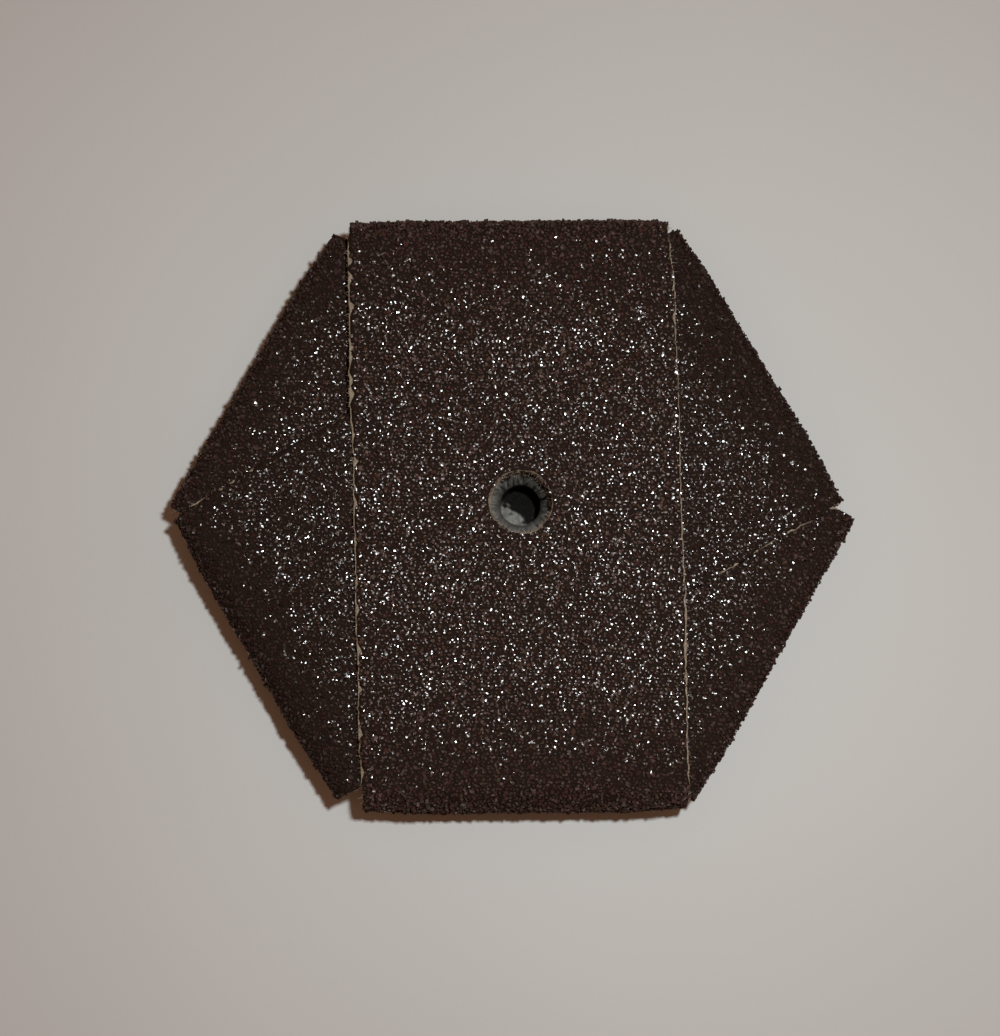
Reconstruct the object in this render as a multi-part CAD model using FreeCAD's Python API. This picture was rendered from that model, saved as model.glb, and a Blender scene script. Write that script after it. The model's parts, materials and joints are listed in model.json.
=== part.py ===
import FreeCAD, Part
import math
import os

# Folded abrasive hexagon pad, real size, in millimetres.
#
# Three equal strips of abrasive cloth are each folded into a flat closed loop, grain outward.
# The loops lie inside one another at 60 degrees, and their six folds are the sides of a hexagon.
# A steel insert with a blind thread passes the back panels of the inner and middle strips and is
# clinched over a washer inside the innermost loop. The outer strip covers its head. The spindle
# enters through the clearance hole in the front panels.
#
# Frame: origin on the spindle axis, on the outer strip's back panel, which is the working face.
# +Z runs along the spindle axis, towards the spindle. +Y runs to one fold of the outer strip, and
# +X along that fold to the corner between the other two strips.

# ---- abrasive cloth -------------------------------------------------------------------------
across_flats = 76.2          # hexagon, over the grain of two opposite folds
strip_width = 41.6           # each strip, between its two raw cut edges
cloth_thickness = 0.5        # heavy cotton backing
coat_thickness = 0.7         # resin and coarse grain on the outer side of the cloth
fold_inner_radius = 0.6      # inside corner of each fold
loop_half_gap = 0.8          # half of the free height inside the innermost loop
seam_gap = 0.6               # between the two butted ends of a strip, at the middle of its back

# ---- how the strips lie as made -------------------------------------------------------------
# Each row: name, direction of the strip's length from +X in degrees, sideways shift of its
# middle line, and its lean from square to its folds in degrees.
strips = [
    ("inner_strip", 150.0, 0.0, 0.0),
    ("middle_strip", 30.0, 0.0, 0.0),
    ("outer_strip", 90.0, -0.85, 0.7),
]
pad_centre_x = -1.2          # middle of the hexagon, from the spindle axis
pad_centre_y = -1.1

# ---- insert and washers ---------------------------------------------------------------------
thread_minor_radius = 2.55   # plain bore standing in for the 1/4-20 UNC thread
barrel_radius = 3.95         # outside of the insert's barrel
head_radius = 7.5
head_thickness = 0.8         # closes the bottom of the thread
back_washer_radius = 12.7
back_washer_thickness = 1.0
inner_washer_radius = 8.0
inner_washer_thickness = 0.6
front_hole_radius = 3.875    # clearance hole through the front panels

# The barrel's end is spread outward in petals. Heights are over the inner washer.
clinch_radius = 5.3
clinch_height = 0.7
clinch_petals = 6
clinch_first_slot = 12.0     # direction of the first slot between petals, in degrees
petal_slot_width = 0.5
slot_start_radius = 3.25
lip_height = 0.2             # top of the bore's wall
lip_round_radius = 3.1       # a point of the round from the bore to the crown
lip_round_height = 0.58
tip_round_radius = 4.85      # a point of the round from the crown to the petals' tips
tip_round_height = 0.56
tip_height = 0.25

# ---- derived sizes --------------------------------------------------------------------------
ply = cloth_thickness + coat_thickness
half_flats = across_flats / 2
head_base = ply
bore_floor = head_base + head_thickness
hardware_gap = head_thickness + back_washer_thickness   # between the two outermost back panels
mid_height = head_base + hardware_gap + 2 * ply + loop_half_gap
inner_washer_base = mid_height - loop_half_gap
clinch_base = inner_washer_base + inner_washer_thickness
up = FreeCAD.Vector(0, 0, 1)


def point(x, y, z):
    return FreeCAD.Vector(x, y, z)


def rounded_slab(half_length, half_height, corner_radius, half_width):
    """A slab along X with its four long corners rounded, centred on the loop's middle."""
    flat_x = half_length - corner_radius
    flat_z = half_height - corner_radius
    reach = corner_radius * math.sqrt(0.5)
    edges = []
    for sign_x, sign_z in ((1, 1), (-1, 1), (-1, -1), (1, -1)):
        side_end = point(sign_x * half_length, -half_width, sign_z * flat_z)
        middle = point(sign_x * (flat_x + reach), -half_width, sign_z * (flat_z + reach))
        face_end = point(sign_x * flat_x, -half_width, sign_z * half_height)
        first, last = (side_end, face_end) if sign_x * sign_z > 0 else (face_end, side_end)
        edges.append((first, Part.Arc(first, middle, last).toShape(), last))
    outline = []
    for index, (first, arc, last) in enumerate(edges):
        outline.append(arc)
        next_first = edges[(index + 1) % len(edges)][0]
        if last.distanceToPoint(next_first) > 1e-6:
            outline.append(Part.LineSegment(last, next_first).toShape())
    wire = Part.Wire(Part.__sortEdges__(outline))
    return Part.Face(wire).extrude(point(0, 2 * half_width, 0))


def leaning_prism(x_start, x_end, middle_start, middle_end, low, high):
    """A prism between two heights, whose raw sides run from one middle line to the other."""
    half = strip_width / 2
    corners = [
        point(x_start, middle_start - half, low),
        point(x_end, middle_end - half, low),
        point(x_end, middle_end + half, low),
        point(x_start, middle_start + half, low),
    ]
    return Part.Face(Part.makePolygon(corners + corners[:1])).extrude(up * (high - low))


def strip_outline(shift, lean):
    """The space that a strip fills between its raw edges, front panel and both back halves."""
    slope = math.tan(math.radians(lean))
    end = half_flats + 1
    tall = half_flats
    front = leaning_prism(-end, end, shift - slope * end, shift + slope * end, 0, tall)
    # A fold that isn't square to the strip turns the lean round on the back.
    far = 2 * half_flats
    back_right = leaning_prism(0, end, shift + slope * far, shift + slope * (far - end), -tall, 0)
    back_left = leaning_prism(-end, 0, shift - slope * (far - end), shift - slope * far, -tall, 0)
    return front.fuse(back_right).fuse(back_left)


def strip_layer(level, extra_height, outer_offset, inner_offset, shift, lean):
    """One layer of a strip's loop, between two offsets out from the loop's inner face."""
    inner_height = loop_half_gap + level * ply + extra_height / 2
    inner_length = half_flats - ply
    shells = []
    for offset in (outer_offset, inner_offset):
        shells.append(rounded_slab(inner_length + offset, inner_height + offset,
                                   fold_inner_radius + offset, strip_width))
    loop = shells[0].cut(shells[1]).common(strip_outline(shift, lean))
    seam = Part.makeBox(seam_gap, 4 * strip_width, half_flats,
                        point(-seam_gap / 2, -2 * strip_width, -half_flats))
    return loop.cut(seam)


def placed(shape, direction, extra_height):
    """Turns a strip about the pad's middle and lifts it to its place. Extra height of a loop is
    all at its back."""
    turned = shape.copy()
    turned.rotate(point(0, 0, 0), up, direction)
    turned.translate(point(pad_centre_x, pad_centre_y, mid_height - extra_height / 2))
    return turned


def ring(inner_radius, outer_radius, base, height):
    outside = Part.makeCylinder(outer_radius, height, point(0, 0, base))
    return outside.cut(Part.makeCylinder(inner_radius, height, point(0, 0, base)))


# The back panels of the inner and middle strips grip the barrel. The front panels stand clear of
# the spindle.
barrel_space = Part.makeCylinder(barrel_radius, mid_height - head_base, point(0, 0, head_base))
front_space = Part.makeCylinder(front_hole_radius, mid_height, point(0, 0, mid_height))
panel_holes = barrel_space.fuse(front_space)

nodes = {}
for strip_level, (name, direction, shift, lean) in enumerate(strips):
    extra = hardware_gap if name == "outer_strip" else 0
    cloth = strip_layer(strip_level, extra, cloth_thickness, 0, shift, lean)
    coat = strip_layer(strip_level, extra, ply, cloth_thickness, shift, lean)
    nodes[name + "_cloth"] = placed(cloth, direction, extra).cut(panel_holes)
    nodes[name + "_grain"] = placed(coat, direction, extra).cut(panel_holes)

# Insert: flat head, barrel, and the barrel's end curled outward over the inner washer.
head = Part.makeCylinder(head_radius, head_thickness, point(0, 0, head_base))
barrel = ring(thread_minor_radius, barrel_radius, bore_floor, clinch_base - bore_floor)
curl_start = point(thread_minor_radius, 0, clinch_base)
curl_lip = point(thread_minor_radius, 0, clinch_base + lip_height)
lip_round = point(lip_round_radius, 0, clinch_base + lip_round_height)
curl_crown = point(barrel_radius, 0, clinch_base + clinch_height)
tip_round = point(tip_round_radius, 0, clinch_base + tip_round_height)
curl_tip = point(clinch_radius, 0, clinch_base + tip_height)
curl_foot = point(clinch_radius, 0, clinch_base)
curl_section = Part.Wire([
    Part.LineSegment(curl_start, curl_lip).toShape(),
    Part.Arc(curl_lip, lip_round, curl_crown).toShape(),
    Part.Arc(curl_crown, tip_round, curl_tip).toShape(),
    Part.LineSegment(curl_tip, curl_foot).toShape(),
    Part.LineSegment(curl_foot, curl_start).toShape(),
])
curl = Part.Face(curl_section).revolve(point(0, 0, 0), up, 360)
for petal in range(clinch_petals):
    slot = Part.makeBox(clinch_radius, petal_slot_width, 2 * clinch_height,
                        point(slot_start_radius, -petal_slot_width / 2, clinch_base))
    slot.rotate(point(0, 0, 0), up, 360.0 * petal / clinch_petals + clinch_first_slot)
    curl = curl.cut(slot)
nodes["threaded_insert"] = head.fuse(barrel).fuse(curl).removeSplitter()

nodes["back_washer"] = ring(barrel_radius, back_washer_radius, bore_floor,
                            back_washer_thickness)
nodes["inner_washer"] = ring(barrel_radius, inner_washer_radius, inner_washer_base,
                             inner_washer_thickness)

os.makedirs("parts", exist_ok=True)
for name, shape in nodes.items():
    solid = shape.Solids[0] if len(shape.Solids) == 1 else shape
    solid.exportStep("parts/" + name + ".step")
    print(name, "solids", len(shape.Solids), "valid", shape.isValid(), "volume", round(shape.Volume, 2))
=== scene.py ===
import json
import math

import bmesh
import bpy
import numpy as np
from mathutils import Matrix, Vector


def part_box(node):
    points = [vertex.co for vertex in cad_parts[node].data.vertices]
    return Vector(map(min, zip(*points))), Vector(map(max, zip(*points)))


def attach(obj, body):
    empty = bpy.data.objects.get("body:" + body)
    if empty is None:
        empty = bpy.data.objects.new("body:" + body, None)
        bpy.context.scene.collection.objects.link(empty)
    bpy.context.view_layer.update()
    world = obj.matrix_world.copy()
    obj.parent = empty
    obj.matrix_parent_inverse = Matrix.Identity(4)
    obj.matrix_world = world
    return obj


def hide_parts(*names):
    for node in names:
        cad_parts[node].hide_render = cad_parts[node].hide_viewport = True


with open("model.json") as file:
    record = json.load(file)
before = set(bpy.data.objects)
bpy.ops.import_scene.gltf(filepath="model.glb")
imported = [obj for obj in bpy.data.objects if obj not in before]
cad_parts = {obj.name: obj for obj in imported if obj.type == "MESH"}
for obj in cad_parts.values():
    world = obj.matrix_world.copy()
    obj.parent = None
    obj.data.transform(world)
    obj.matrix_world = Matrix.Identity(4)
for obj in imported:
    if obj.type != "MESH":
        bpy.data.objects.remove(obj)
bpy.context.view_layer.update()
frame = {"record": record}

MM = 0.001

# ---- what the CAD frame says ----------------------------------------------------------------
outer_low, outer_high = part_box("outer_strip_grain")
middle_low, middle_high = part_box("middle_strip_grain")
inner_low, inner_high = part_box("inner_strip_grain")
cloth_low, cloth_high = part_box("outer_strip_cloth")
insert_low, insert_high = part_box("threaded_insert")
back_washer_low, back_washer_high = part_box("back_washer")
inner_washer_low, inner_washer_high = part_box("inner_washer")

CENTRE_X = (middle_low.x + middle_high.x) / 2 / MM
CENTRE_Y = (middle_low.y + middle_high.y) / 2 / MM
MID_Z = (inner_low.z + inner_high.z) / 2 / MM
HALF_FLATS = (outer_high.y - outer_low.y) / 2 / MM
COAT = (outer_high.z - cloth_high.z) / MM
PLY = (outer_high.z - middle_high.z) / MM
CLOTH = PLY - COAT
HALF_WIDTH = ((middle_high.y - middle_low.y) / 2 / MM - HALF_FLATS / 2) / math.cos(math.radians(30))
OUTER_SHIFT = -((outer_low.x + outer_high.x) / 2 / MM - CENTRE_X)
TOP_Z = outer_high.z / MM
THREAD_MOUNT = next(m for m in frame["record"]["mounts"] if m["name"] == "spindle_thread")
BORE_R = THREAD_MOUNT["dims"]["r_mm"]
BARREL_R = 3.95                     # outside of the insert's barrel

# ---- how the strips lie ---------------------------------------------------------------------
LEAN = math.tan(math.radians(0.7))  # the outer strip, from square to its folds
MIDDLE_SHIFT = 0.45                 # the middle strip slipped a little to one side
FOLD_SPRING = 0.25                  # how far the cloth springs out past its nominal fold
PANEL_END = HALF_FLATS - PLY + FOLD_SPRING
CORNER_DRAW = 0.5                   # how far the ends of a fold are drawn in
FOLD_ROUNDS = {                     # length of the round at the middle and at the ends of a fold
    "inner": (1.7, 1.5), "middle": (2.9, 1.45), "outer": (3.7, 1.3),
}
CREASED_SHORT = {                   # of the nominal place, at the low s end and the high s end
    "inner": (-0.25, 0.0), "middle": (0.50, 0.42), "outer": (0.35, 0.0),
}


# ---- smooth seeded noise --------------------------------------------------------------------
class Waves:
    """Smooth noise in one or two directions, as a sum of seeded sine waves."""

    COUNT = 14
    SPREAD = 2.2        # the longest and shortest waves against the nominal length

    def __init__(self, seed, wavelength):
        r = np.random.default_rng(seed)
        self.k = 2 * math.pi / (wavelength * self.SPREAD ** r.uniform(-1, 1, self.COUNT))
        self.angle = r.uniform(0, 2 * math.pi, self.COUNT)
        self.phase = r.uniform(0, 2 * math.pi, self.COUNT)
        self.gain = math.sqrt(2 / self.COUNT)

    def __call__(self, x, y=0.0):
        total = 0
        for k, angle, phase in zip(self.k, self.angle, self.phase):
            total = total + np.sin(k * (x * math.cos(angle) + y * math.sin(angle)) + phase)
        return total * self.gain


def smoothstep(t):
    t = np.clip(t, 0, 1)
    return t * t * (3 - 2 * t)


def unit(vectors):
    return vectors / np.linalg.norm(vectors, axis=-1, keepdims=True)


front_waves = Waves(3, 26)
back_waves = Waves(4, 22)


# ---- the folded strips ----------------------------------------------------------------------
class Strip:
    """One strip folded into a flat loop. A point of it is given by s, the way round the loop
    from the middle of the front panel, v across the strip, and the height over the cloth's
    inner face. s runs over the fold at either end and on to the seam in the back panel."""

    def __init__(self, name, level, box, direction, shift, lean, sag, bulge):
        self.name, self.level = name, level
        low, high = box
        self.middle = (low.z + high.z) / 2 / MM
        self.half_height = (high.z - low.z) / 2 / MM - PLY
        angle = math.radians(direction)
        self.along = np.array([math.cos(angle), math.sin(angle)])
        self.across = np.array([-math.sin(angle), math.cos(angle)])
        self.shift, self.lean = shift, lean
        self.sag, self.bulge = sag, bulge
        self.corner, self.corner_edge = FOLD_ROUNDS[name]
        self.short = CREASED_SHORT[name]
        self.flat = PANEL_END - self.corner
        # the fold's length, along the middle of the cloth
        phi = np.linspace(math.pi / 2, -math.pi / 2, 200)
        u, z = self.fold(phi, self.corner + 0.4, self.half_height + 0.4, 2.3)
        self.fold_length = float(np.hypot(np.diff(u), np.diff(z)).sum())
        self.fold_end = self.flat + self.fold_length
        self.end = self.fold_end + self.flat
        self.edge_waves = [Waves(50 + level * 7 + k, 1.6) for k in range(4)]
        self.slow_waves = [Waves(80 + level * 7 + k, 19) for k in range(4)]

    @staticmethod
    def fold(phi, a, h, n):
        """A point of the fold's section, a superellipse of power n."""
        c, s = np.cos(phi), np.sin(phi)
        return a * np.abs(c) ** (2 / n), h * np.sign(s) * np.abs(s) ** (2 / n)

    def base(self, s, v):
        """The cloth's inner face: distances along and across from the pad's middle, and height."""
        s, v = np.broadcast_arrays(np.asarray(s, float), np.asarray(v, float))
        side = np.sign(s) + (s == 0)
        way = np.abs(s)
        near_edge = smoothstep((np.abs(v) - 6) / (HALF_WIDTH - 6.5))
        a = self.corner + (self.corner_edge - self.corner) * near_edge
        n = 2.15 + 0.5 * near_edge
        sag = self.sag + (self.sag * 0.5 - self.sag) * near_edge
        h = self.half_height + self.bulge - sag
        # two corners of the inner strip were left standing, and the others are drawn in
        pulled = near_edge ** 3 * ((s * v < 0) | (self.name != "inner"))
        flat = PANEL_END - a - CORNER_DRAW * pulled - np.where(s < 0, *self.short)
        # front panel
        on_panel = np.minimum(way, self.flat) / self.flat
        # back panel
        on_back = np.clip((self.end - way) / self.flat, 0, 1)
        phi = math.pi / 2 - math.pi * np.clip((way - self.flat) / self.fold_length, 0, 1)
        du, dz = self.fold(phi, a, h, n)
        share = np.where(way <= self.flat, on_panel, np.where(way < self.fold_end, 1.0, on_back))
        u = np.where(way <= self.flat, share * flat,
                     np.where(way < self.fold_end, flat + du, share * flat))
        relax = smoothstep((share * self.flat - 9) / (self.flat - 9))
        level_h = self.half_height * (1 - relax) + h * relax
        z = np.where(way <= self.flat, level_h, np.where(way < self.fold_end, dz, -level_h))
        u = u * side
        far = 2 * HALF_FLATS
        lean_at = np.where(z >= 0, u, side * far - u)
        return u, v + self.shift + self.lean * lean_at, z

    def world(self, s, v):
        """The cloth's inner face in the CAD frame, with the panels' slow waves."""
        u, w, z = self.base(s, v)
        x = CENTRE_X + u * self.along[0] + w * self.across[0]
        y = CENTRE_Y + u * self.along[1] + w * self.across[1]
        share = np.clip(z / max(self.half_height, 1e-6), -1, 1)
        wide = np.hypot(x, y)
        calm = smoothstep((wide - 8) / 14)
        front = front_waves(x, y) * 0.10 * (0.35 + 0.65 * calm)
        back = 0.12 + (back_waves(x, y) * 0.06 + 0.12) * calm
        z = z + np.where(share > 0, share * front, -share * back)
        return np.stack([x, y, z + self.middle], -1)

    def point(self, s, v, height):
        """The point at a height over the inner face, and the outward normal there."""
        d = 0.05
        p = self.world(s, v)
        ps = self.world(np.asarray(s) + d, v) - self.world(np.asarray(s) - d, v)
        pv = self.world(s, np.asarray(v) + d) - self.world(s, np.asarray(v) - d)
        normal = np.cross(ps, pv)
        normal /= np.maximum(np.linalg.norm(normal, axis=-1, keepdims=True), 1e-9)
        return p + normal * np.asarray(height)[..., None], normal

    def cloth_edge(self, s, side):
        """Where the cloth ends: side -1 is the low v edge and +1 the high v edge."""
        k = 0 if side < 0 else 1
        s = np.asarray(s)
        rough = 0.05 * self.edge_waves[k](s * 2.1) + 0.10 * self.slow_waves[k](s)
        # the sheared corners at the folds are drawn in
        drawn = 0.3 * smoothstep((np.abs(s) - self.flat + 1.5) / 3)
        if self.name == "inner":
            drawn = drawn * (s * side < 0)
        if self.name == "outer":
            if side > 0:
                drawn = drawn - 0.25 * np.clip(s / 30, -1, 1)
            else:
                drawn = drawn + 0.45 * smoothstep((s - self.flat + 7) / 8) * (s > 0)
        back = smoothstep((np.abs(s) - self.fold_end) / 4)
        return side * (HALF_WIDTH - 0.12 + rough - drawn * (1 - back))

    def coat_edge(self, s, side):
        """Where the coat of resin and grain ends, chipped back from the cloth's edge."""
        k = 2 if side < 0 else 3
        chipped = CHIPPED[(self.name, side)]
        wave = self.edge_waves[k](np.asarray(s))
        slow = self.slow_waves[k](np.asarray(s) * 1.7)
        back = chipped[0] + chipped[1] * np.maximum(0, wave + 0.35 * slow) ** 1.6
        for at, reach, depth in chipped[2]:
            back = back + depth * np.exp(-((np.asarray(s) - at) / reach) ** 2)
        # the coat holds at the folds, where it was pressed
        whole = smoothstep(np.abs(s) - self.flat + 1.2)
        return self.cloth_edge(s, side) - side * np.clip(back * (1 - 0.85 * whole), -0.10, 2.4)


# How far the coat is chipped back along each raw edge: always, at random, and at places
# (way round the loop, half length, depth). Where it comes out below zero, the coat overhangs.
CHIPPED = {
    ("outer", 1): (0.17, 0.10, [
        (30.5, 0.9, 0.30), (29.5, 0.3, -0.60), (28.0, 1.2, 0.10), (24.8, 0.45, 0.42),
        (19.8, 0.45, 0.50), (18.3, 0.35, 0.25), (14.2, 0.6, 0.30), (9.2, 0.35, 0.28),
        (-12.0, 0.5, 0.25), (-26.5, 0.6, 0.35)]),
    ("outer", -1): (0.15, 0.05, [(-30.0, 1.5, 0.06), (12.0, 8.0, -0.08)]),
    ("middle", 1): (-0.10, 0.10, [
        (-33.6, 1.7, 0.36), (-29.6, 0.35, 0.48), (-27.9, 0.3, 0.42), (-25.2, 0.3, 0.35)]),
    ("middle", -1): (-0.08, 0.10, [(30.0, 1.6, 0.22), (25.5, 1.2, 0.20), (20.0, 0.5, 0.2)]),
    ("inner", 1): (0.10, 0.15, []),
    ("inner", -1): (0.10, 0.2, [(-34.5, 1.4, 0.6)]),
}

outer = Strip("outer", 2, (outer_low, outer_high), direction=90,
              shift=OUTER_SHIFT, lean=LEAN, sag=0.55, bulge=0.0)
middle = Strip("middle", 1, (middle_low, middle_high), direction=30,
               shift=MIDDLE_SHIFT, lean=0, sag=0.35, bulge=0.0)
inner = Strip("inner", 0, (inner_low, inner_high), direction=150,
              shift=0, lean=0, sag=0.0, bulge=0.12)
strips = [inner, middle, outer]


# ---- mesh helpers ---------------------------------------------------------------------------
def make_object(name, points_mm, faces, body="root", flat=True, attributes=None):
    """A piece of the object, from faces that all have the same number of corners."""
    mesh = bpy.data.meshes.new(name)
    points = np.asarray(points_mm, np.float32) * MM
    faces = np.asarray(faces, np.int32)
    corners = faces.shape[1]
    mesh.vertices.add(len(points))
    mesh.vertices.foreach_set("co", points.ravel())
    mesh.loops.add(faces.size)
    mesh.loops.foreach_set("vertex_index", faces.ravel())
    mesh.polygons.add(len(faces))
    mesh.polygons.foreach_set("loop_start", np.arange(len(faces), dtype=np.int32) * corners)
    mesh.polygons.foreach_set("loop_total", np.full(len(faces), corners, np.int32))
    mesh.update(calc_edges=True)
    mesh.validate()
    for key, values in (attributes or {}).items():
        layer = mesh.attributes.new(key, "FLOAT", "POINT")
        layer.data.foreach_set("value", np.asarray(values, np.float32).ravel())
    if flat:
        mesh.shade_flat()
    else:
        mesh.shade_smooth()
    obj = bpy.data.objects.new(name, mesh)
    bpy.context.scene.collection.objects.link(obj)
    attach(obj, body)
    return obj


def grid_faces(index):
    """The faces between a grid of points, given by the points' numbers."""
    corners = index[:-1, :-1], index[1:, :-1], index[1:, 1:], index[:-1, 1:]
    return np.stack(corners, -1).reshape(-1, 4)


SEAM_HALF_GAP = 0.3
ROW_STEP = 0.45         # between two rows of points, the way round the loop


def slab(strip, name, low, high, edge, columns, bump=None):
    """A closed layer of a strip between two heights, whose long edges follow a function."""
    end = strip.end - SEAM_HALF_GAP
    s = np.linspace(-end, end, int(2 * strip.end / ROW_STEP))
    lo, hi = edge(s, -1), edge(s, 1)
    v = lo[:, None] + (hi - lo)[:, None] * columns[None, :]
    ss = np.broadcast_to(s[:, None], v.shape)
    rows, cols = v.shape
    top, normal = strip.point(ss, v, np.full(v.shape, high))
    if bump is not None:
        lift = bump(ss, v)
        rim = np.minimum(smoothstep((v - lo[:, None]) / 0.5), smoothstep((hi[:, None] - v) / 0.5))
        top = top + normal * (lift * (0.3 + 0.7 * rim))[..., None]
    bottom, _ = strip.point(ss, v, np.full(v.shape, low))
    points = np.concatenate([top.reshape(-1, 3), bottom.reshape(-1, 3)])
    index = np.arange(rows * cols).reshape(rows, cols)
    under = index + rows * cols
    quads = [grid_faces(index), grid_faces(under)[:, ::-1]]
    for a, b in ((index[:, 0], under[:, 0]), (under[:, -1], index[:, -1]),
                 (under[0, :], index[0, :]), (index[-1, :], under[-1, :])):
        quads.append(np.stack([a[:-1], b[:-1], b[1:], a[1:]], -1))
    faces = np.concatenate(quads)
    way = np.concatenate([ss.ravel(), ss.ravel()])
    over = np.concatenate([v.ravel(), v.ravel()])
    return make_object(name, points, faces, attributes={"way": way, "over": over}, flat=False)


def cutter(points, z_low, z_high):
    """A closed prism with the given outline, to cut a hole."""
    n = len(points)
    low = np.column_stack([points, np.full(n, z_low)])
    high = np.column_stack([points, np.full(n, z_high)])
    mesh = bpy.data.meshes.new("cutter")
    faces = [[i, (i + 1) % n, n + (i + 1) % n, n + i] for i in range(n)]
    faces += [list(range(n - 1, -1, -1)), list(range(n, 2 * n))]
    mesh.from_pydata((np.concatenate([low, high]) * MM).tolist(), [], faces)
    mesh.update()
    obj = bpy.data.objects.new("cutter", mesh)
    bpy.context.scene.collection.objects.link(obj)
    return obj


def cut(obj, tools):
    """Cuts holes in a piece and removes the cutters."""
    bpy.context.view_layer.objects.active = obj
    for tool in tools:
        mod = obj.modifiers.new("cut", "BOOLEAN")
        mod.operation, mod.solver, mod.object = "DIFFERENCE", "EXACT", tool
        with bpy.context.temp_override(object=obj, active_object=obj):
            bpy.ops.object.modifier_apply(modifier=mod.name)
    for tool in tools:
        mesh = tool.data
        bpy.data.objects.remove(tool)
        bpy.data.meshes.remove(mesh)


def ragged_circle(radius, rough, seed, centre=(0.0, 0.0)):
    angle = np.linspace(0, 2 * math.pi, 96, endpoint=False)
    x, y = np.cos(angle), np.sin(angle)
    fine, slow = Waves(seed, 0.16), Waves(seed + 1, 1.1)
    r = radius + rough * (0.5 * fine(x, y) + 0.8 * slow(x, y))
    return np.column_stack([centre[0] + r * x, centre[1] + r * y])


# ---- materials ------------------------------------------------------------------------------
class Nodes:
    """Short ways to build a node tree."""

    def __init__(self, name):
        self.material = bpy.data.materials.new(name)
        self.material.use_nodes = True
        self.tree = self.material.node_tree
        self.shader = self.tree.nodes["Principled BSDF"]

    def new(self, kind, **values):
        """A node, with its own settings or its inputs set by name."""
        node = self.tree.nodes.new(kind)
        for key, value in values.items():
            if hasattr(node, key):
                setattr(node, key, value)
            else:
                node.inputs[key.replace("_", " ")].default_value = value
        return node

    def link(self, a, b):
        self.tree.links.new(a, b)

    def set(self, **values):
        for key, value in values.items():
            self.shader.inputs[key.replace("_", " ")].default_value = value

    def attribute(self, name):
        return self.new("ShaderNodeAttribute", attribute_name=name).outputs["Fac"]

    def position(self):
        return self.new("ShaderNodeTexCoord").outputs["Object"]

    def noise(self, scale, detail=3.0, rough=0.55, vector=None):
        node = self.new("ShaderNodeTexNoise", Scale=scale, Detail=detail, Roughness=rough)
        self.link(vector or self.position(), node.inputs["Vector"])
        return node.outputs["Fac"]

    def ramp(self, value, stops):
        node = self.new("ShaderNodeValToRGB")
        elements = node.color_ramp.elements
        while len(elements) < len(stops):
            elements.new(0.5)
        for element, (at, colour) in zip(elements, stops):
            element.position = at
            element.color = (*colour, 1)
        self.link(value, node.inputs["Fac"])
        return node.outputs["Color"]

    def math(self, operation, a, b=0.0):
        node = self.new("ShaderNodeMath", operation=operation)
        for socket, value in zip(node.inputs, (a, b)):
            if hasattr(value, "links"):
                self.link(value, socket)
            else:
                socket.default_value = value
        return node.outputs[0]

    def scaled(self, value, low, high):
        node = self.new("ShaderNodeMapRange", To_Min=low, To_Max=high)
        self.link(value, node.inputs["Value"])
        return node.outputs["Result"]

    def mix(self, factor, a, b):
        node = self.new("ShaderNodeMix", data_type="RGBA")
        for socket, value in ((node.inputs[0], factor), (node.inputs[6], a), (node.inputs[7], b)):
            if hasattr(value, "links"):
                self.link(value, socket)
            elif isinstance(value, tuple):
                socket.default_value = (*value, 1)
            else:
                socket.default_value = value
        return node.outputs[2]

    def bump(self, height, strength, distance):
        node = self.new("ShaderNodeBump", Strength=strength, Distance=distance)
        self.link(height, node.inputs["Height"])
        self.link(node.outputs["Normal"], self.shader.inputs["Normal"])

    def facets(self, scale, tilt):
        """Breaks a surface into small flats, each turned its own way by up to half the tilt."""
        cells = self.new("ShaderNodeTexVoronoi", Scale=scale)
        self.link(self.position(), cells.inputs["Vector"])
        turned = self.new("ShaderNodeVectorMath", operation="MULTIPLY_ADD")
        self.link(cells.outputs["Color"], turned.inputs[0])
        turned.inputs[1].default_value = (tilt, tilt, tilt)
        turned.inputs[2].default_value = (-tilt / 2, -tilt / 2, -tilt / 2)
        sloped = self.new("ShaderNodeVectorMath", operation="ADD")
        self.link(self.new("ShaderNodeNewGeometry").outputs["Normal"], sloped.inputs[0])
        self.link(turned.outputs["Vector"], sloped.inputs[1])
        normal = self.new("ShaderNodeVectorMath", operation="NORMALIZE")
        self.link(sloped.outputs["Vector"], normal.inputs[0])
        self.link(normal.outputs["Vector"], self.shader.inputs["Normal"])


GRAIN_COLOURS = [
    (0.0, (0.028, 0.014, 0.011)),
    (0.2, (0.066, 0.024, 0.021)),
    (0.4, (0.046, 0.030, 0.018)),
    (0.6, (0.076, 0.035, 0.030)),
    (0.8, (0.066, 0.045, 0.032)),
    (1.0, (0.130, 0.080, 0.071)),
]
CORUNDUM_IOR = 1.76


def grain_material(name, shade):
    """Brown crystals, dull under resin and shining on their freshly broken facets."""
    n = Nodes(name)
    # the colours are darkened by each strip's painted shade
    stops = [(at, tuple(shade * part for part in colour)) for at, colour in GRAIN_COLOURS]
    colour = n.ramp(n.attribute("tint"), stops)
    dust_and_lit_side = n.scaled(n.noise(2600.0, 2.0), -0.04, 0.07)
    n.link(n.mix(dust_and_lit_side, colour, (0.10, 0.08, 0.06)), n.shader.inputs["Base Color"])
    fresh = n.attribute("fresh")
    bare = n.scaled(n.attribute("polish"), 0.17, 0.32)
    roughness = n.math("ADD", n.math("MULTIPLY", fresh, bare), n.scaled(fresh, 0.8, 0.0))
    n.link(roughness, n.shader.inputs["Roughness"])
    n.set(IOR=CORUNDUM_IOR)
    n.link(n.scaled(fresh, 0.06, 0.95), n.shader.inputs["Specular IOR Level"])
    n.facets(scale=4800.0, tilt=0.50)
    return n.material


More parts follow.
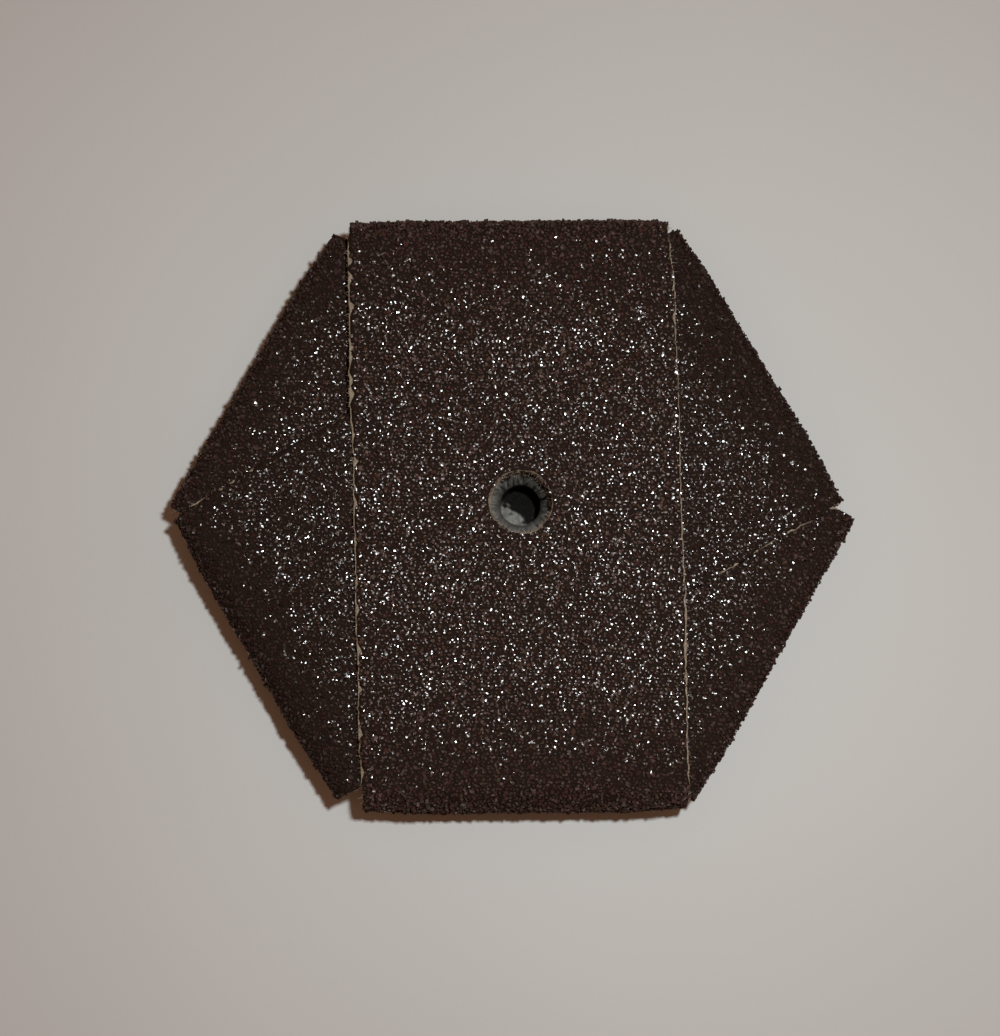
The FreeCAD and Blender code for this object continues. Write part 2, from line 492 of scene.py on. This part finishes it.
def resin_material():
    n = Nodes("resin_coat")
    fine = n.noise(1500.0, 4.0, 0.6)
    slow = n.noise(140.0, 3.0)
    colour = n.ramp(fine, [
        (0.3, (0.011, 0.006, 0.004)), (0.6, (0.022, 0.012, 0.009)), (0.8, (0.036, 0.021, 0.015))])
    patched = n.mix(n.scaled(slow, 0.0, 0.4), colour, (0.026, 0.013, 0.008))
    n.link(patched, n.shader.inputs["Base Color"])
    n.link(n.scaled(fine, 0.75, 0.95), n.shader.inputs["Roughness"])
    n.set(Specular_IOR_Level=0.12)
    n.bump(n.noise(2200.0, 4.0), 0.5, 0.0002)
    return n.material


THREAD_PITCH = 0.42      # of the weave


def cloth_material():
    n = Nodes("backing_cloth")
    way, over = n.attribute("way"), n.attribute("over")
    turn = 2 * math.pi / THREAD_PITCH
    warp = n.math("SINE", n.math("MULTIPLY", over, turn))
    weft = n.math("SINE", n.math("MULTIPLY", way, turn))
    crossing = n.math("MULTIPLY", n.math("MULTIPLY", warp, weft), 0.35)
    threads = n.math("ADD", crossing, n.math("MULTIPLY", n.math("ABSOLUTE", warp), 0.5))
    fibre = n.noise(3200.0, 4.0, 0.65)
    patch = n.noise(320.0, 3.0)
    colour = n.ramp(fibre, [
        (0.28, (0.24, 0.165, 0.105)), (0.5, (0.49, 0.385, 0.265)), (0.72, (0.70, 0.59, 0.45))])
    stains_and_painted_shade = n.mix(n.scaled(patch, -0.25, 0.85), colour, (0.09, 0.05, 0.03))
    shaded = n.mix(n.scaled(threads, 0.0, 0.35), stains_and_painted_shade, (0.09, 0.055, 0.035))
    n.link(shaded, n.shader.inputs["Base Color"])
    n.link(n.scaled(fibre, 0.75, 0.95), n.shader.inputs["Roughness"])
    height = n.math("ADD", n.math("MULTIPLY", threads, 0.7), n.math("MULTIPLY", fibre, 0.5))
    n.bump(height, 0.8, 0.00012)
    return n.material


def fibre_material():
    n = Nodes("cotton_fibre")
    fibre = n.noise(1800.0, 3.0)
    colour = n.ramp(fibre, [
        (0.3, (0.20, 0.145, 0.11)), (0.55, (0.44, 0.36, 0.30)), (0.8, (0.68, 0.60, 0.52))])
    n.link(colour, n.shader.inputs["Base Color"])
    n.set(Roughness=0.85)
    return n.material


# Near-black colour painted where the bore and one side of the spread end lie in shadow.
PAINTED_SHADE_COLOUR = (0.004, 0.0035, 0.003)
DUST_COLOURS = [(0.38, (0.075, 0.068, 0.058)), (0.62, (0.25, 0.232, 0.20))]


def steel_material(name, dark, light, dust_and_lit_side, grime_scale, rough, soot=None):
    """Dull plated steel under grime and dust, and, where the attribute says so, painted shade."""
    n = Nodes(name)
    grime = n.noise(grime_scale, 5.0, 0.62)
    fine = n.noise(grime_scale * 7, 3.0, 0.6)
    blotch = n.noise(grime_scale * 0.35, 3.0)
    metal = n.ramp(grime, [(0.3, dark), (0.62, light)])
    dusty = n.scaled(blotch, dust_and_lit_side[0], dust_and_lit_side[1])
    surface = n.mix(dusty, metal, n.ramp(fine, DUST_COLOURS))
    bare = n.math("SUBTRACT", 1.0, n.math("MULTIPLY", dusty, 0.75))
    # painted shade: the attribute blackens the colour, hides the metal and takes the specular away
    # where the bore lies in shadow
    if soot:
        shade_amount = n.math("MULTIPLY", n.attribute(soot), n.scaled(fine, 0.72, 1.22))
        surface = n.mix(shade_amount, surface, PAINTED_SHADE_COLOUR)
        bare = n.math("MULTIPLY", bare, n.math("SUBTRACT", 1.0, n.attribute(soot)))
        n.link(n.scaled(n.attribute(soot), 0.5, 0.02), n.shader.inputs["Specular IOR Level"])
    n.link(surface, n.shader.inputs["Base Color"])
    n.link(bare, n.shader.inputs["Metallic"])
    worn = n.math("ADD", n.math("MULTIPLY", grime, 0.6), n.math("MULTIPLY", fine, 0.4))
    n.link(n.scaled(worn, rough[0], rough[1]), n.shader.inputs["Roughness"])
    pitted = n.math("ADD", n.math("MULTIPLY", grime, 0.7), n.math("MULTIPLY", fine, 0.5))
    n.bump(pitted, 0.5, 0.00008)
    return n.material


# One grain in three copies, darker for the middle and inner strips: painted shade on the lower
# strips.
GRAIN = {name: grain_material(name + "_abrasive_grain", shade)
         for name, shade in (("outer", 1.05), ("middle", 0.62), ("inner", 0.82))}
RESIN = resin_material()
CLOTH_MATERIAL = cloth_material()
FIBRE = fibre_material()
INSERT_STEEL = steel_material(
    "insert_steel", dark=(0.09, 0.083, 0.077), light=(0.28, 0.262, 0.244), dust_and_lit_side=(0.25, 1.1),
    grime_scale=1300.0, rough=(0.42, 0.75), soot="soot")
WASHER_STEEL = steel_material(
    "washer_steel", dark=(0.33, 0.32, 0.30), light=(0.58, 0.57, 0.55), dust_and_lit_side=(-0.5, 0.35),
    grime_scale=260.0, rough=(0.28, 0.5))


# ---- cloth and resin of each strip ----------------------------------------------------------
RESIN_TOP = CLOTH + 0.26
RESIN_SINK = 0.03           # how deep the resin soaks into the cloth
# columns of points across a strip, close together at its raw edges
EDGE_COLUMNS = np.array([0, 0.004, 0.012, 0.03])
CLOTH_COLUMNS = np.concatenate([EDGE_COLUMNS, np.linspace(0.06, 0.94, 31), 1 - EDGE_COLUMNS[::-1]])
RESIN_COLUMNS = np.linspace(0, 1, 75)
# radius and middle of the clearance hole in each front panel
HOLE = {"outer": 3.98, "middle": 3.86, "inner": 3.80}
HOLE_AT = {"outer": (0.02, -0.02), "middle": (0.10, 0.05), "inner": (-0.06, 0.0)}

pieces = {}
for strip in strips:
    cloth = slab(strip, strip.name + "_cloth_loop", 0.0, CLOTH, strip.cloth_edge, CLOTH_COLUMNS)
    rough = Waves(120 + strip.level, 1.3)
    resin = slab(strip, strip.name + "_resin_coat", CLOTH - RESIN_SINK, RESIN_TOP,
                 strip.coat_edge, RESIN_COLUMNS,
                 bump=lambda s, v, rough=rough: 0.07 * rough(s, v))
    far = TOP_Z + 3
    seat = ragged_circle(BARREL_R + 0.01, 0.0, 1)
    radius, centre = HOLE[strip.name], HOLE_AT[strip.name]
    hole = ragged_circle(radius, 0.05, 200 + strip.level, centre)
    chipped_hole = ragged_circle(radius + 0.10, 0.08, 300 + strip.level, centre)
    front_tools = [cutter(hole, MID_Z, far)], [cutter(chipped_hole, MID_Z, far)]
    for obj, tools in zip((cloth, resin), front_tools):
        if strip is not outer:
            tools.append(cutter(seat, insert_low.z / MM, MID_Z))
        cut(obj, tools)
    cloth.data.materials.append(CLOTH_MATERIAL)
    resin.data.materials.append(RESIN)
    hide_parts(strip.name + "_strip_cloth")
    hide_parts(strip.name + "_strip_grain")
    pieces[strip.name] = (cloth, resin)


# ---- grain ----------------------------------------------------------------------------------
TOP_FACET = 0.5         # area of the facet that faces out of the coat, against the lump's widest
SHAPE_COUNT = 56        # different lumps
SPACING = 0.52          # between two grains
GRAIN_SIZE = 0.57       # a middling grain, across
FRESH_FROM, FRESH_OVER = 0.83, 0.05     # how squarely a facet has to face out to be bare


def facet_normals(pts, tri):
    a, b, c = (pts[tri[:, k]] for k in range(3))
    return np.cross(b - a, c - a)


def crystal_shapes(count, seed):
    """Convex lumps with flat facets: points, triangles and how freshly broken each facet is. The
    facets on top are bare crystal, and resin dulls the others."""
    r = np.random.default_rng(seed)
    shapes = []
    for _ in range(count):
        while True:
            n = int(r.integers(8, 11))
            p = unit(r.normal(size=(n, 3)))
            p *= r.uniform(0.75, 1.1, (n, 1))
            bm = bmesh.new()
            for q in p:
                bm.verts.new(q)
            bmesh.ops.convex_hull(bm, input=bm.verts, use_existing_faces=False)
            loose = [x for x in bm.verts if not x.link_faces]
            bmesh.ops.delete(bm, geom=loose, context="VERTS")
            bmesh.ops.triangulate(bm, faces=bm.faces)
            bm.verts.index_update()
            pts = np.array([x.co for x in bm.verts])
            tri = np.array([[x.index for x in f.verts] for f in bm.faces])
            bm.free()
            if len(pts) >= 6:
                break
        pts -= pts.mean(0)
        # wind every facet outward, then turn a middling one up
        normals = facet_normals(pts, tri)
        inward = (normals * pts[tri[:, 0]]).sum(1) < 0
        tri[inward] = tri[inward][:, ::-1]
        normals = facet_normals(pts, tri)
        areas = np.linalg.norm(normals, axis=1)
        chosen = np.abs(areas / areas.max() - TOP_FACET).argmin()
        turn = np.array(Vector(normals[chosen]).rotation_difference(Vector((0, 0, 1))).to_matrix())
        tall = r.uniform(0.7, 0.95) if r.random() < 0.5 else r.uniform(1.0, 1.35)
        pts = pts @ turn.T * np.array([1.0, r.uniform(0.7, 0.95), tall])
        normals = facet_normals(pts, tri)
        fresh = smoothstep((unit(normals)[:, 2] - FRESH_FROM) / FRESH_OVER)
        shapes.append((pts, tri, fresh))
    return shapes


SHAPES = crystal_shapes(SHAPE_COUNT, 11)


def scatter(strip, s_low, s_high, keep, seed):
    """Places for grains: an uneven hexagonal spread over part of the loop."""
    r = np.random.default_rng(seed)
    # true length round the loop against s, along the strip's middle line
    s_line = np.linspace(s_low, s_high, 3000)
    line, _ = strip.point(s_line, np.zeros_like(s_line), np.full(s_line.shape, PLY))
    true = np.concatenate([[0], np.cumsum(np.linalg.norm(np.diff(line, axis=0), axis=1))])
    row_step = SPACING * 0.866
    rows = int(true[-1] / row_step)
    cols = int(2 * HALF_WIDTH / SPACING)
    i, j = np.meshgrid(np.arange(rows), np.arange(cols), indexing="ij")
    way = (i + 0.5) * row_step + r.normal(0, 0.17, i.shape) * SPACING
    v = -HALF_WIDTH + (j + 0.5 + 0.5 * (i % 2)) * SPACING + r.normal(0, 0.22, i.shape) * SPACING
    s = np.interp(way.ravel(), true, s_line)
    v = v.ravel()
    ok = (v > strip.coat_edge(s, -1) + 0.02) & (v < strip.coat_edge(s, 1) - 0.02)
    s, v = s[ok], v[ok]
    p, _ = strip.point(s, v, np.full(s.shape, PLY))
    ok = keep(p)
    return s[ok], v[ok], r


def grains(strip, name, s_low, s_high, keep, seed):
    """The grains on part of a loop, as one piece."""
    s, v, r = scatter(strip, s_low, s_high, keep, seed)
    count = len(s)
    foot, normal = strip.point(s, v, np.full(s.shape, RESIN_TOP))
    size = np.clip(r.lognormal(math.log(GRAIN_SIZE), 0.22, count), 0.34, 0.92) / 2
    # local axes: the long axis leans a little off the surface's normal
    up = unit(normal + r.normal(0, 0.18, (count, 3)))
    side = unit(np.cross(up, r.normal(size=(count, 3))))
    other = np.cross(up, side)
    height = r.normal(0.10, 0.055, count) + (size - 0.28) * 0.35
    centre = foot + normal * height[:, None]
    which = r.integers(0, len(SHAPES), count)
    tint = r.uniform(0, 1, count)
    polish = r.beta(1.6, 2.2, count)
    # resin lies over more of the grains towards the folds, and over none on the back
    reach = 11.0 if strip is outer else 6.0
    covered = np.clip((np.abs(s) - strip.flat + reach) / reach, 0, 1)
    covered = np.where(np.abs(s) > strip.fold_end, 0.0, 0.93 * covered)
    bareness = np.where(r.uniform(0, 1, count) < covered, 0.0, 1.0)
    points, faces, tints, polishes, fresh = [], [], [], [], []
    start = 0
    for k, (pts, tri, bare) in enumerate(SHAPES):
        chosen = np.nonzero(which == k)[0]
        if not len(chosen):
            continue
        local = pts[None] * size[chosen, None, None]
        placed = (centre[chosen, None] + local[..., :1] * side[chosen, None]
                  + local[..., 1:2] * other[chosen, None] + local[..., 2:] * up[chosen, None])
        points.append(placed.reshape(-1, 3))
        base = start + np.arange(len(chosen))[:, None, None] * len(pts)
        faces.append((tri[None] + base).reshape(-1, 3))
        tints.append(np.repeat(tint[chosen], len(pts)))
        polishes.append(np.repeat(polish[chosen], len(pts)))
        fresh.append((bareness[chosen, None] * bare).ravel())
        start += len(chosen) * len(pts)
    points, faces = np.concatenate(points), np.concatenate(faces)
    obj = make_object(name, points, faces, attributes={
        "tint": np.concatenate(tints), "polish": np.concatenate(polishes)})
    layer = obj.data.attributes.new("fresh", "FLOAT", "FACE")
    layer.data.foreach_set("value", np.concatenate(fresh).astype(np.float32))
    obj.data.materials.append(GRAIN[strip.name])
    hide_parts(strip.name + "_strip_grain")
    print(name, count, "grains", len(faces), "triangles")
    return obj


HIDDEN_FROM = 3.5       # how far under the strip above the grains go on


def outside(strip, p):
    """Whether points lie beyond a strip's raw edges in plan, or nearly."""
    dx, dy = p[..., 0] - CENTRE_X, p[..., 1] - CENTRE_Y
    across = dx * strip.across[0] + dy * strip.across[1] - strip.shift
    return np.abs(across) > HALF_WIDTH - HIDDEN_FROM


def clear_of_hole(strip, p):
    cx, cy = HOLE_AT[strip.name]
    wide = np.hypot(p[..., 0] - cx, p[..., 1] - cy)
    rough = Waves(300 + strip.level, 1.2)
    bare = HOLE[strip.name] + 0.20 + 0.14 * rough(p[..., 0], p[..., 1])
    front = p[..., 2] > MID_Z
    return ~(front & (wide < bare))


def keep_outer(p):
    return clear_of_hole(outer, p)


def keep_middle(p):
    return outside(outer, p) & clear_of_hole(middle, p)


def keep_inner(p):
    return outside(outer, p) & outside(middle, p) & clear_of_hole(inner, p)


seed = 700
for strip, keep in ((outer, keep_outer), (middle, keep_middle), (inner, keep_inner)):
    turn = strip.flat + strip.fold_length / 2
    top = strip.end - 0.5
    grains(strip, strip.name + "_grain_front", -turn, turn, keep, seed)
    grains(strip, strip.name + "_grain_back_a", turn, top, keep, seed + 1)
    grains(strip, strip.name + "_grain_back_b", -top, -turn, keep, seed + 2)
    seed += 10


# ---- frayed threads -------------------------------------------------------------------------
def tufts(name, roots, directions, lengths, radii, r, slot, replaced):
    """Short curved fibres, each a thin tapered tube, closed at both ends."""
    sides, steps = 4, 4
    angle = np.arange(sides) * 2 * math.pi / sides
    round_a, round_b = np.cos(angle)[:, None], np.sin(angle)[:, None]
    points, faces = [], []
    for root, heading, length, radius in zip(roots, directions, lengths, radii):
        bend = r.normal(0, 0.55, 3)
        at, way = root.copy(), unit(heading)
        ring_base = len(points) * (steps + 1) * sides
        rings = []
        for k in range(steps + 1):
            a = unit(np.cross(way, [0.31, 0.52, 0.79]))
            b = np.cross(way, a)
            thick = radius * (1 - 0.75 * k / steps)
            rings.append(at + thick * (round_a * a + round_b * b))
            at = at + way * length / steps
            way = unit(way + bend * 0.35)
        points.append(np.concatenate(rings))
        for k in range(steps):
            for m in range(sides):
                q = [k * sides + m, k * sides + (m + 1) % sides,
                     (k + 1) * sides + (m + 1) % sides, (k + 1) * sides + m]
                faces.append([ring_base + x for x in q])
        last = ring_base + steps * sides
        faces.append([ring_base + 3, ring_base + 2, ring_base + 1, ring_base])
        faces.append([last, last + 1, last + 2, last + 3])
    obj = make_object(name, np.concatenate(points), faces, flat=False)
    obj.data.materials.append(FIBRE)
    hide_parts(replaced)
    return obj


def edge_fray(strip, side, count, seed):
    """Roots, directions, lengths and radii of threads along a raw edge."""
    r = np.random.default_rng(seed)
    s = r.uniform(-strip.end + 0.6, strip.end - 0.6, count)
    v = strip.cloth_edge(s, side) - side * 0.03
    height = r.uniform(0.06, CLOTH, count)
    p, normal = strip.point(s, v, height)
    q, _ = strip.point(s, v + side * 0.1, height)
    heading = unit(q - p) + normal * r.normal(0.1, 0.45, count)[:, None]
    heading = heading + r.normal(0, 0.5, (count, 3))
    length = r.gamma(2.0, 0.14, count) + 0.05
    radius = r.uniform(0.018, 0.045, count)
    return p, heading, length, radius


def hole_fray(strip, count, seed):
    """The same, round the clearance hole."""
    r = np.random.default_rng(seed)
    angle = r.uniform(0, 2 * math.pi, count)
    cx, cy = HOLE_AT[strip.name]
    rad = HOLE[strip.name] + r.uniform(0.0, 0.06, count)
    level = strip.half_height + strip.middle + r.uniform(0.05, CLOTH, count)
    p = np.column_stack([cx + rad * np.cos(angle), cy + rad * np.sin(angle), level])
    inward = -np.column_stack([np.cos(angle), np.sin(angle), np.zeros(count)])
    heading = inward * r.uniform(0.1, 0.7, count)[:, None] + r.normal(0, 0.8, (count, 3))
    heading[:, 2] = heading[:, 2] * 0.6 + 0.1
    length = r.gamma(2.0, 0.14, count) + 0.06
    radius = r.uniform(0.015, 0.038, count)
    return p, heading, length, radius


for strip in strips:
    sets = [edge_fray(strip, -1, 420, 900 + strip.level),
            edge_fray(strip, 1, 520, 910 + strip.level),
            hole_fray(strip, 340, 920 + strip.level)]
    threads = (np.concatenate(x) for x in zip(*sets))
    tufts(
        strip.name + "_frayed_threads", *threads, np.random.default_rng(930 + strip.level),
        "backing_cloth", strip.name + "_strip_cloth")

for strip in strips:
    cloth, resin = pieces[strip.name]


# ---- insert and washers ---------------------------------------------------------------------
def lathe(name, rings, steps, material, node, closed=True):
    """A closed turned piece, from (radius, height) pairs that may be functions of the angle. It is
    ring-shaped, or, where the pairs don't close on themselves, capped at both ends on the axis."""
    angle = np.linspace(0, 2 * math.pi, steps, endpoint=False)
    grid = []
    for radius, height in rings:
        r = radius(angle) if callable(radius) else np.full(steps, radius)
        z = height(angle) if callable(height) else np.full(steps, height)
        grid.append(np.column_stack([r * np.cos(angle), r * np.sin(angle), z]))
    grid = np.array(grid)
    rows = len(grid)
    index = np.arange(rows * steps).reshape(rows, steps)
    nxt = np.roll(index, -1, axis=0)
    faces = np.stack([index, np.roll(index, -1, axis=1), np.roll(nxt, -1, axis=1), nxt], -1)
    faces = (faces if closed else faces[:-1]).reshape(-1, 4)
    obj = make_object(name, grid.reshape(-1, 3), faces, flat=False)
    bm = bmesh.new()
    bm.from_mesh(obj.data)
    if not closed:
        bmesh.ops.holes_fill(bm, edges=[e for e in bm.edges if e.is_boundary], sides=0)
    bmesh.ops.recalc_face_normals(bm, faces=bm.faces)
    bm.to_mesh(obj.data)
    bm.free()
    obj.data.materials.append(material)
    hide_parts(node)
    return obj


def washer(node, box, bevel):
    """A flat ring with rounded edges. Rings of points over its two wide faces keep the shading
    even."""
    low, high = box
    base, top = low.z / MM + 0.01, high.z / MM - 0.01
    inner_r, outer_r = BARREL_R + 0.02, high.x / MM
    quarter = np.linspace(0, math.pi / 2, 5)
    near, far = bevel * (1 - np.cos(quarter)), bevel * (1 - np.sin(quarter))
    wide = np.linspace(inner_r + 2 * bevel, outer_r - 2 * bevel, 6)
    rings = [
        *zip(inner_r + near, base + far), *((r, base) for r in wide),
        *zip(outer_r - far, base + near), *zip(outer_r - near, top - far),
        *((r, top) for r in wide[::-1]), *zip(inner_r + far, top - near),
    ]
    return lathe(node + "_plate", rings, 128, WASHER_STEEL, node)


head_base = insert_low.z / MM
bore_floor = back_washer_low.z / MM
washer_top = back_washer_high.z / MM
inner_base, inner_top = inner_washer_low.z / MM, inner_washer_high.z / MM
crown = insert_high.z / MM
head_r = insert_high.x / MM

washer("back_washer", (back_washer_low, back_washer_high), 0.16)
washer("inner_washer", (inner_washer_low, inner_washer_high), 0.10)

SCREW_PITCH = 25.4 / 20     # 20 threads to the inch
SCREW_DEPTH = 0.42
PETALS = 6
petal_waves, rim_waves, lift_waves = Waves(401, 0.5), Waves(402, 0.8), Waves(403, 0.6)


def thread_radius(z):
    """The bore's radius round the axis at a height."""
    def radius(angle):
        turn = (z / SCREW_PITCH - angle / (2 * math.pi)) % 1.0
        crest = np.abs(turn - 0.5) * 2          # 1 at the crest, 0 at the root
        # the thread runs out at both ends of the bore
        fade = np.clip((z - bore_floor - 0.2) / 0.6, 0, 1) * np.clip((crown - 0.55 - z) / 0.7, 0, 1)
        return BORE_R + SCREW_DEPTH * fade * (1 - smoothstep(crest * 1.15))
    return radius


def petal_depth(angle):
    """1 in the middle of a petal and 0 in the split between two."""
    uneven = 0.13 * petal_waves(np.cos(angle), np.sin(angle))
    phase = (angle * PETALS / (2 * math.pi) + uneven) % 1.0
    return smoothstep(np.minimum(phase, 1 - phase) / 0.16)


def curl(r_in, r_out, z_in, z_out):
    """A ring of the spread end, from its place in the splits to its place on the petals."""
    def radius(angle):
        d = petal_depth(angle)
        rough = 1 + 0.05 * rim_waves(np.cos(angle), np.sin(angle))
        return r_in + (r_out * rough - r_in) * d

    def height(angle):
        d = petal_depth(angle)
        lift = 0.07 * lift_waves(np.cos(angle), np.sin(angle))
        return z_in + (z_out + lift - z_in) * d
    return radius, height


floor_waves = Waves(404, 2.4)


def floor_height(radius):
    def height(angle):
        waves = floor_waves(radius * np.cos(angle), radius * np.sin(angle))
        return bore_floor + 0.03 * waves - 0.04
    return height


# the head's underside, its rounded rim and its top
rings = [(r, head_base) for r in (0.02, 1.5, 3.0, 4.5, 6.0, head_r - 0.4)]
rings += [(head_r - 0.12, head_base + 0.04), (head_r - 0.02, head_base + 0.14)]
rings += [(head_r, head_base + 0.3), (head_r - 0.02, bore_floor - 0.1)]
rings += [(head_r - 0.1, bore_floor - 0.01)]
rings += [(r, bore_floor - 0.005) for r in np.linspace(head_r - 0.5, BARREL_R + 0.3, 4)]
# the barrel
rings += [(BARREL_R, z) for z in (bore_floor + 0.1, washer_top, (washer_top + inner_base) / 2,
                                  inner_top - 0.02)]
# the spread end, from its foot over the tips and the crown into the bore: how far the splits go
# in from the barrel's radius, the petals' radius, and the two heights over the inner washer
rings += [curl(BARREL_R - split, petal_r, inner_top + split_z, inner_top + petal_z)
          for split, petal_r, split_z, petal_z in (
              (0.35, 5.25, 0.02, 0.03), (0.38, 5.30, 0.10, 0.18), (0.42, 5.05, 0.16, 0.42),
              (0.48, 4.55, 0.20, 0.60), (0.55, 3.95, 0.22, 0.64), (0.70, 3.45, 0.20, 0.55),
              (0.95, 3.05, 0.16, 0.38))]
# the threaded bore and its floor
rings += [(thread_radius(z), z) for z in np.arange(crown - 0.62, bore_floor + 0.1, -0.09)]
rings += [(r, floor_height(r)) for r in (BORE_R - 0.15, *np.arange(2.2, 0.1, -0.2), 0.02)]
insert = lathe("threaded_insert_body", rings, 144, INSERT_STEEL,
               "threaded_insert", closed=False)


def paint_bore_shade(obj):
    """Paints shade into the bore and onto the upper-right side of the spread end, where the hole's
    rim shades them from the key, and leaves it off the lower-left side that the key lights, in
    blots."""
    mesh = obj.data
    p = np.empty(len(mesh.vertices) * 3, np.float32)
    mesh.vertices.foreach_get("co", p)
    p = p.reshape(-1, 3) / MM
    wide = np.hypot(p[:, 0], p[:, 1])
    toward = 0.62 * p[:, 0] + 0.78 * p[:, 1]     # distance towards the shaded side, up and to the right
    edge = Waves(410, 1.3)(p[:, 0], p[:, 1]) * 0.35
    inside = smoothstep((BORE_R + 0.62 - wide) / 0.35) * smoothstep((crown - 0.25 - p[:, 2]) / 0.7)
    # the lower-left side, which the key lights: the painted shade is left off it
    lit_side = smoothstep((-toward - 0.1 + edge) / 1.1)
    blots = np.clip(0.5 + 0.5 * Waves(411, 0.45)(p[:, 0], p[:, 1]), 0, 1)
    # painted shade on the upper-right side of the spread end, which the rim keeps from the key,
    # varied by random blots
    stains_and_painted_shade = 0.30 + 0.62 * smoothstep((toward + 3.5 + 2 * edge) / 5.5)
    stains_and_painted_shade = stains_and_painted_shade * (0.55 + 0.55 * blots)
    # the key-lit side, with random blots, takes the painted shade off the floor
    dust_and_lit_side = lit_side ** 1.7 * (0.74 + 0.26 * blots)
    on_end = p[:, 2] > crown - 1.2
    # painted shade: the inside of the bore, less the lit side, and the shaded side of the end
    soot = np.clip(np.maximum(inside * (1 - dust_and_lit_side), stains_and_painted_shade * on_end), 0, 1)
    layer = mesh.attributes.new("soot", "FLOAT", "POINT")
    layer.data.foreach_set("value", soot.astype(np.float32))


paint_bore_shade(insert)


# ---- floor, light and camera ----------------------------------------------------------------
FLOOR_HALF, FLOOR_POINTS = 0.9, 60      # metres, and points along each side


def paper_floor():
    mesh = bpy.data.meshes.new("paper_floor")
    line = np.linspace(-FLOOR_HALF, FLOOR_HALF, FLOOR_POINTS)
    x, y = np.meshgrid(line, line, indexing="ij")
    points = np.stack([x, y, np.zeros_like(x)], -1).reshape(-1, 3)
    faces = grid_faces(np.arange(len(points)).reshape(FLOOR_POINTS, FLOOR_POINTS))
    mesh.from_pydata(points.tolist(), [], faces.tolist())
    obj = bpy.data.objects.new("paper_floor", mesh)
    bpy.context.scene.collection.objects.link(obj)
    n = Nodes("pale_paper")
    broad = n.noise(9.0, 2.0)
    fibre = n.noise(900.0, 3.0)
    colour = n.ramp(broad, [(0.3, (0.705, 0.69, 0.665)), (0.7, (0.74, 0.725, 0.70))])
    flecked = n.mix(n.scaled(fibre, 0.0, 0.08), colour, (0.60, 0.58, 0.54))
    n.link(flecked, n.shader.inputs["Base Color"])
    n.set(Roughness=0.85)
    n.bump(n.math("ADD", n.noise(14.0, 2.0), n.math("MULTIPLY", fibre, 0.02)), 0.35, 0.004)
    obj.data.materials.append(n.material)


paper_floor()

FOCAL_PX, IMAGE_LONG_SIDE = 3200.0, 1036.0
CAMERA_AT = Vector((-8.15, -56.7, 408.6)) * MM
camera_data = bpy.data.cameras.new("camera")
camera_data.sensor_width = 36.0
camera_data.lens = FOCAL_PX * camera_data.sensor_width / IMAGE_LONG_SIDE
camera_data.clip_start, camera_data.clip_end = 0.01, 10
camera = bpy.data.objects.new("camera", camera_data)
bpy.context.scene.collection.objects.link(camera)
forward = Vector((0.0137, 0.1357, -0.9906)).normalized()
right = Vector((0.9999, -0.0095, 0.0125))
right = (right - forward * right.dot(forward)).normalized()
upward = right.cross(forward)
facing = Matrix((right, upward, -forward)).transposed().to_4x4()
camera.matrix_world = Matrix.Translation(CAMERA_AT) @ facing
bpy.context.scene.camera = camera

# The key is a small soft lamp up and to the right of the camera. Warm light from the room fills
# the shadows.
KEY_AT = CAMERA_AT + right * 0.075 + upward * 0.078
KEY_TARGET = Vector((0.0122, -0.0097, 0))
key_data = bpy.data.lights.new("key", "AREA")
key_data.shape = "DISK"
key_data.size = 0.030
key_data.energy = 0.174
key_data.color = (0.892, 0.963, 0.983)
key_data.spread = math.radians(72)
key = bpy.data.objects.new("key", key_data)
bpy.context.scene.collection.objects.link(key)
key.location = KEY_AT
key.rotation_mode = "QUATERNION"
key.rotation_quaternion = (KEY_TARGET - KEY_AT).to_track_quat("-Z", "Y")

world = bpy.data.worlds.new("room")
bpy.context.scene.world = world
world.use_nodes = True
background = world.node_tree.nodes["Background"]
background.inputs["Color"].default_value = (1.0, 0.52, 0.30, 1)
background.inputs["Strength"].default_value = 0.155

view_settings = bpy.context.scene.view_settings
view_settings.view_transform = "Standard"
view_settings.look = "None"
